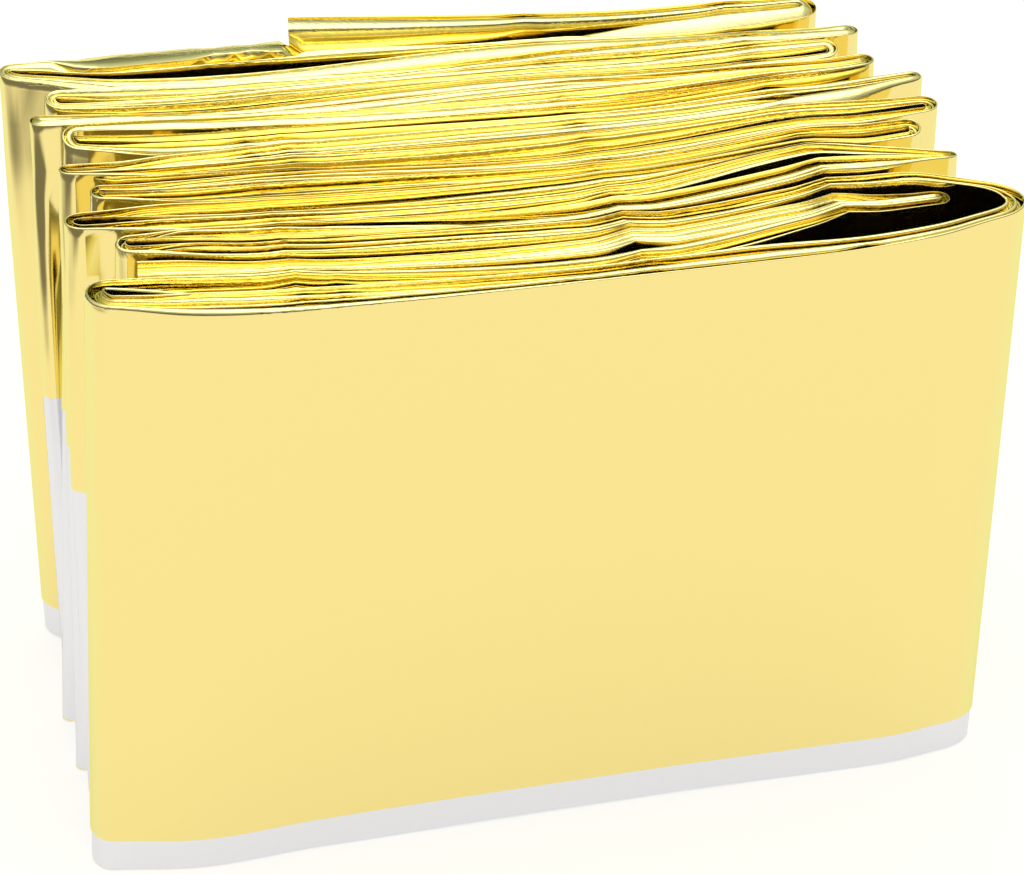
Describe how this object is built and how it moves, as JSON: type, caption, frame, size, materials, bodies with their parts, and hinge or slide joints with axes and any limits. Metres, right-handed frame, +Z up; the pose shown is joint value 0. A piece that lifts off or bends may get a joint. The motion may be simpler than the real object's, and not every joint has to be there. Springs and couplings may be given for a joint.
{
  "type": "emergency foil blanket",
  "caption": "Gold and silver foil rescue blanket, folded to a narrow strip and then back and forth into an upright pack, fanned out at one side.",
  "frame": {"origin": "middle of the pack's footprint, on the surface that it stands on", "axes": "+X along the panels, towards the fold that joins the front panel to the next; +Y from the front panel to the loose tail at the back; +Z up"},
  "size_m": [0.114, 0.0682, 0.0791],
  "materials": {
    "gold_film": "polished metal coat on polyester film, gold on one side and silver on the other"
  },
  "bodies": {
    "root": {"foil_blanket": "gold_film"}
  },
  "joints": []
}
